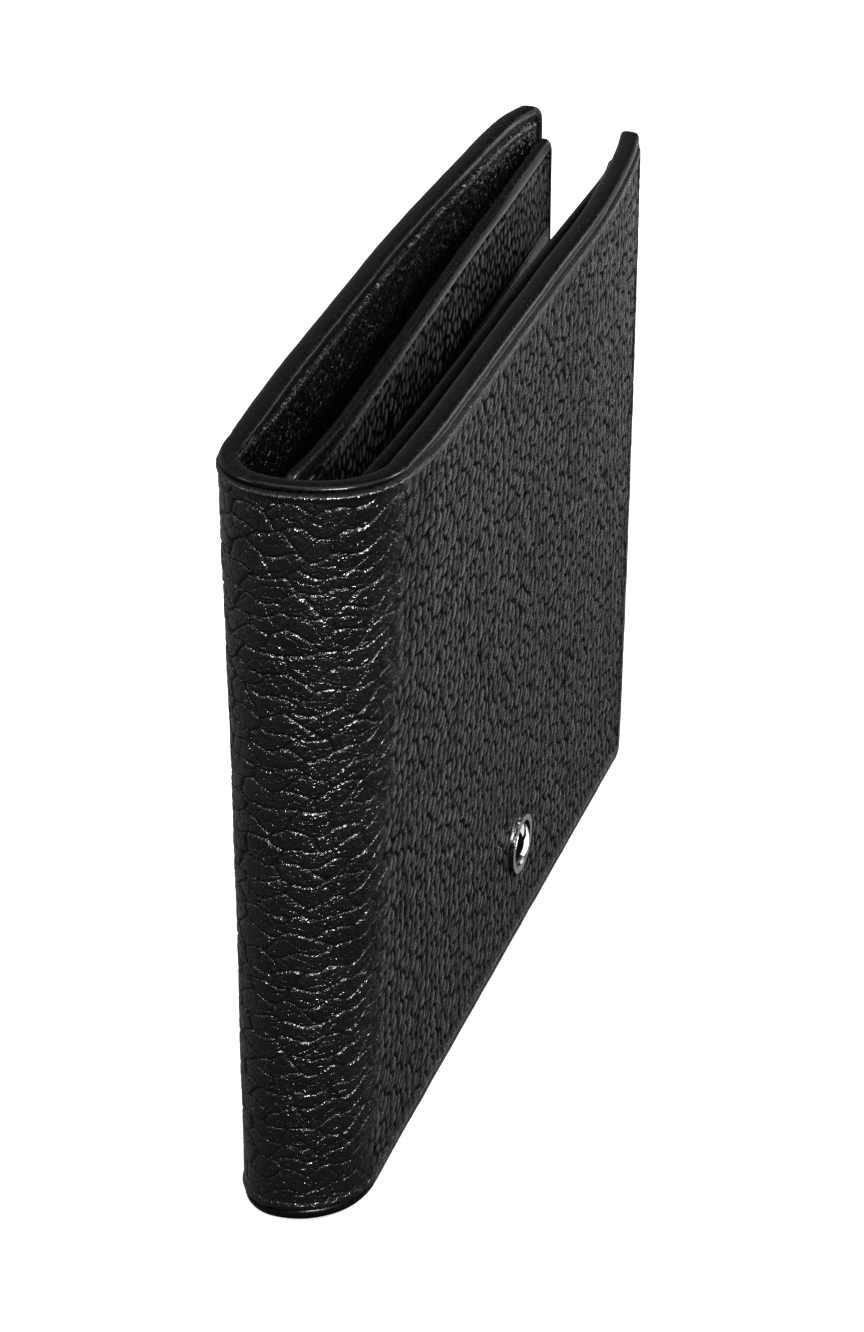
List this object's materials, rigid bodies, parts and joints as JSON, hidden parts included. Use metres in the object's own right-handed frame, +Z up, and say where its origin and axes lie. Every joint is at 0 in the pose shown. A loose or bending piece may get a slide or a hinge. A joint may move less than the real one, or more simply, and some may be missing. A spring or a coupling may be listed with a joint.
{
  "type": "bifold wallet",
  "caption": "Folded black leather bifold wallet standing on its long edge, with a rounded spine, inner leaves with stepped card slots, an open note compartment and a plain domed metal disc.",
  "frame": {"origin": "middle of the footprint, on the surface the bottom long edges stand on", "axes": "+X from the spine to the free edges, -Y is the front cover with the round disc, +Y the back cover, +Z up"},
  "size_m": [0.116, 0.0198, 0.095],
  "materials": {
    "grain_leather": "soft pebble grain, satin black",
    "lining_leather": "fine grain, satin black",
    "edge_coat": "smooth burnished satin black coat on the leather edge",
    "stiffener_board": "matt bonded leather board",
    "fabric_lining": "fine black twill",
    "thread": "waxed black thread",
    "polished_metal": "mirror polish",
    "rivet_brass": "plain"
  },
  "bodies": {
    "back_half": {"back_cover_leather": "grain_leather", "back_cover_board": "stiffener_board", "back_cover_lining": "lining_leather", "back_cover_edge": "edge_coat", "back_leaf_leather": "grain_leather", "back_leaf_lining": "fabric_lining", "back_leaf_edge": "edge_coat", "back_leaf_hem": "grain_leather", "back_card_slot_1": "grain_leather", "back_card_slot_2": "grain_leather", "back_card_slot_3": "grain_leather", "back_slot_linings": "fabric_lining", "back_leaf_stitching": "thread"},
    "spine_stave_1": {"spine_leather_1": "grain_leather", "spine_lining_1": "lining_leather", "spine_edge_1": "edge_coat"},
    "spine_stave_2": {"spine_leather_2": "grain_leather", "spine_lining_2": "lining_leather", "spine_edge_2": "edge_coat"},
    "spine_stave_3": {"spine_leather_3": "grain_leather", "spine_lining_3": "lining_leather", "spine_edge_3": "edge_coat"},
    "front_half": {"front_cover_leather": "grain_leather", "front_cover_board": "stiffener_board", "front_cover_lining": "lining_leather", "front_cover_edge": "edge_coat", "front_leaf_leather": "grain_leather", "front_leaf_lining": "fabric_lining", "front_leaf_edge": "edge_coat", "front_leaf_hem": "grain_leather", "front_card_slot_1": "grain_leather", "front_card_slot_2": "grain_leather", "front_card_slot_3": "grain_leather", "front_slot_linings": "fabric_lining", "front_leaf_stitching": "thread", "emblem_ring": "polished_metal", "emblem_dome": "polished_metal", "emblem_post": "rivet_brass", "emblem_washer": "rivet_brass"}
  },
  "joints": [
    {"name": "spine_hinge_1", "type": "hinge", "parent": "spine_stave_1", "child": "back_half", "pos_m": [-0.05238, 0.00947, 0.0475], "axis": [0, 0, 1], "range_deg": [-0.1, 45]},
    {"name": "spine_hinge_2", "type": "hinge", "parent": "spine_stave_2", "child": "spine_stave_1", "pos_m": [-0.05752, 0.00433, 0.0475], "axis": [0, 0, 1], "range_deg": [-0.1, 45]},
    {"name": "spine_hinge_3", "type": "hinge", "parent": "spine_stave_2", "child": "spine_stave_3", "pos_m": [-0.05752, -0.00293, 0.0475], "axis": [0, 0, -1], "range_deg": [-0.1, 45]},
    {"name": "cover_fold", "type": "hinge", "parent": "spine_stave_3", "child": "front_half", "pos_m": [-0.05238, -0.00807, 0.0475], "axis": [0, 0, -1], "range_deg": [-0.1, 45]}
  ],
  "couplings": [
    {"joint": "spine_hinge_1", "follows": "cover_fold", "ratio": 1},
    {"joint": "spine_hinge_2", "follows": "cover_fold", "ratio": 1},
    {"joint": "spine_hinge_3", "follows": "cover_fold", "ratio": 1}
  ]
}
